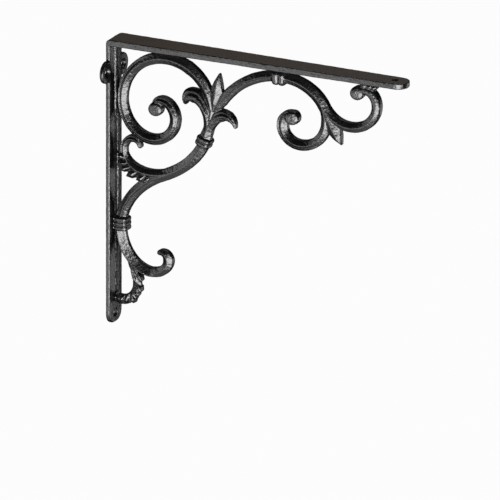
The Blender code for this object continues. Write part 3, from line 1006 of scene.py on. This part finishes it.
# %% Write down the paint
PAINT_BLACK = (0.0007, 0.0007, 0.0007, 1.0)
PAINT_IOR = 1.55

# The scale, detail and roughness of three noises: orange peel, sand grain and broad blotches.
PEEL = (520.0, 1.5, 0.5)
GRAIN = (1500.0, 2.0, 0.6)
BLOTCH = (90.0, 3.0, 0.6)

# The paint's least roughness, and what the blotches, the grain and facing up add to it. A face looks
# up from the first to the second of two upward shares of its normal.
SMOOTHEST = 0.17
BLOTCH_DULLS = 0.14
GRAIN_DULLS = 0.10
LOOKING_UP_DULLS = 0.26
LOOKS_UP = (0.80, 0.98)

# The bump's height, and the peel's share of it. The rest is grain.
BUMP_HEIGHT = 0.45 * MM
PEEL_SHARE = 0.75

# Dust lies on faces that look up, and comes in between two depths below the shelf face.
DUST_BROWN = (0.080, 0.048, 0.026, 1.0)
DUST_COVER = 0.85
DUST_LEAST = 0.7
DUST_PATCHES = 0.5
DUST_BELOW_SHELF = (3 * MM, 1 * MM)
print("The bump is", round(1000 * BUMP_HEIGHT, 2), "mm high")

# %% Make the paint
def make_paint():
    material = bpy.data.materials.new("black_cast_iron")
    material.use_nodes = True
    tree = material.node_tree
    shader = tree.nodes["Principled BSDF"]
    start = Value(tree, None)
    place = start.node("ShaderNodeTexCoord", output="Object")

    def noise(scale, detail, roughness):
        settings = {"noise_dimensions": "3D"}
        return start.node("ShaderNodeTexNoise", settings, Vector=place, Scale=scale, Detail=detail,
                          Roughness=roughness)

    peel = noise(*PEEL)
    grain = noise(*GRAIN)
    blotch = noise(*BLOTCH)
    normal = start.node("ShaderNodeNewGeometry", output="Normal")
    up = start.node("ShaderNodeSeparateXYZ", output="Z", Vector=normal)
    flat_up = start.node("ShaderNodeMapRange", {"interpolation_type": "SMOOTHSTEP"}, i0=up,
                         i1=LOOKS_UP[0], i2=LOOKS_UP[1])
    height_up = start.node("ShaderNodeSeparateXYZ", output="Z", Vector=place)
    at_shelf = start.node("ShaderNodeMapRange", i0=height_up, i1=SHELF_Z - DUST_BELOW_SHELF[0],
                          i2=SHELF_Z - DUST_BELOW_SHELF[1])
    cover = flat_up * at_shelf * (DUST_COVER * (DUST_LEAST + blotch * DUST_PATCHES))
    colour = start.node("ShaderNodeMix", {"data_type": "RGBA"}, output=2,
                        i0=cover, i6=PAINT_BLACK, i7=DUST_BROWN)
    roughness = SMOOTHEST + blotch * BLOTCH_DULLS + grain * GRAIN_DULLS + flat_up * LOOKING_UP_DULLS
    height = peel * PEEL_SHARE + grain * (1 - PEEL_SHARE)
    bump = start.node("ShaderNodeBump", Strength=1.0, Distance=BUMP_HEIGHT, Height=height)
    for name, value in (("Base Color", colour), ("Roughness", roughness), ("Normal", bump)):
        tree.links.new(value.socket, shader.inputs[name])
    shader.inputs["Metallic"].default_value = 0.0
    shader.inputs["IOR"].default_value = PAINT_IOR
    return material


bracket.data.materials.clear()
bracket.data.materials.append(make_paint())
print("The bracket wears", bracket.data.materials[0].name)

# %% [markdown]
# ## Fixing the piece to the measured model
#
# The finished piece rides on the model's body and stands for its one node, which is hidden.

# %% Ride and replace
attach(bracket, "root")
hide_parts("shelf_bracket")
print("The bracket replaces the measured node")

# %% [markdown]
# ## Floor and light
#
# The floor is a plain pale sheet well below the bracket, so that the openwork shows clear against it.
# The iron is dark above and bright to the right in the photograph, which means a broad soft light low
# on the right, close to the camera's own side, and little light from above. Weaker soft boxes fill in
# from the left, from beyond the tip, from below and from behind.
#
# The soft boxes light the bracket alone and a sun lights the floor alone, and the floor doesn't show in
# the paint. So the floor stays evenly pale, and the iron stays as dark as the photograph has it.

# %% Lay the floor
FLOOR_SIZE = 60
FLOOR_DROP = 0.45
FLOOR_GREY = (0.86, 0.86, 0.86, 1.0)
FLOOR_ROUGHNESS = 0.9
deselect_all()
bpy.ops.mesh.primitive_plane_add(size=FLOOR_SIZE, location=(0, 0, FOOT_Z - FLOOR_DROP))
floor = named("floor")
floor_material = bpy.data.materials.new("pale_floor")
floor_material.use_nodes = True
floor_shader = floor_material.node_tree.nodes["Principled BSDF"]
floor_shader.inputs["Base Color"].default_value = FLOOR_GREY
floor_shader.inputs["Roughness"].default_value = FLOOR_ROUGHNESS
floor.data.materials.append(floor_material)
floor.visible_glossy = False
floor.visible_diffuse = False
print("The floor lies", round(1000 * FLOOR_DROP), "mm below the bracket")

# %% Helpers for the lights
def direction(azimuth, elevation):
    """The unit vector towards a light, with azimuth 0 in front of the bracket and 90 beyond its tip."""
    a, e = math.radians(azimuth), math.radians(elevation)
    return Vector((math.sin(a) * math.cos(e), -math.cos(a) * math.cos(e), math.sin(e)))


def soft_box(name, azimuth, elevation, distance, width, height, radiance):
    """An area light that faces the bracket's middle and looks equally bright from anywhere."""
    light = bpy.data.lights.new(name, "AREA")
    light.shape = "RECTANGLE"
    light.size = width
    light.size_y = height
    light.energy = radiance * math.pi * width * height
    lamp = bpy.data.objects.new(name, light)
    bpy.context.scene.collection.objects.link(lamp)
    back = direction(azimuth, elevation)
    lamp.location = Vector((ARM_LENGTH / 2, 0, 0)) + back * distance
    lamp.rotation_euler = back.to_track_quat("Z", "Y").to_euler()
    lamp.visible_camera = False
    return lamp


def lights_only(lamp, piece, name):
    """Keeps a lamp's light to one piece."""
    receivers = bpy.data.collections.new(name)
    receivers.objects.link(piece)
    lamp.light_linking.receiver_collection = receivers


print("Straight ahead is", tuple(round(c) for c in direction(0, 0)))

# %% Hang the lights
# Each soft box's name, azimuth and elevation in degrees, distance, width and height in metres, and
# radiance.
LIGHTS = (
    ("key", 33, -15, 0.75, 0.76, 0.56, 16.0),
    ("front", -32, -20, 0.85, 0.50, 0.66, 3.2),
    ("side", 136, -18, 0.80, 0.50, 0.50, 2.0),
    ("low", 0, -66, 0.60, 0.80, 0.40, 0.9),
    ("left", -68, 10, 0.80, 0.40, 0.30, 3.0),
    ("top", 180, 70, 0.70, 0.60, 0.30, 2.2),
    ("back", 205, 16, 0.90, 0.60, 0.50, 0.22),
)
SUN_STRENGTH = 3.6
WORLD_GREY = (0.008, 0.008, 0.008, 1.0)

for row in LIGHTS:
    lights_only(soft_box(*row), bracket, f"lit_by_{row[0]}")

sun_light = bpy.data.lights.new("floor_light", "SUN")
sun_light.energy = SUN_STRENGTH
sun = bpy.data.objects.new("floor_light", sun_light)
bpy.context.scene.collection.objects.link(sun)
lights_only(sun, floor, "lit_by_sun")

world = bpy.data.worlds.new("studio")
bpy.context.scene.world = world
world.use_nodes = True
world.node_tree.nodes["Background"].inputs["Color"].default_value = WORLD_GREY
bpy.context.scene.view_settings.view_transform = "Standard"
print("There are", len(LIGHTS) + 1, "lights")
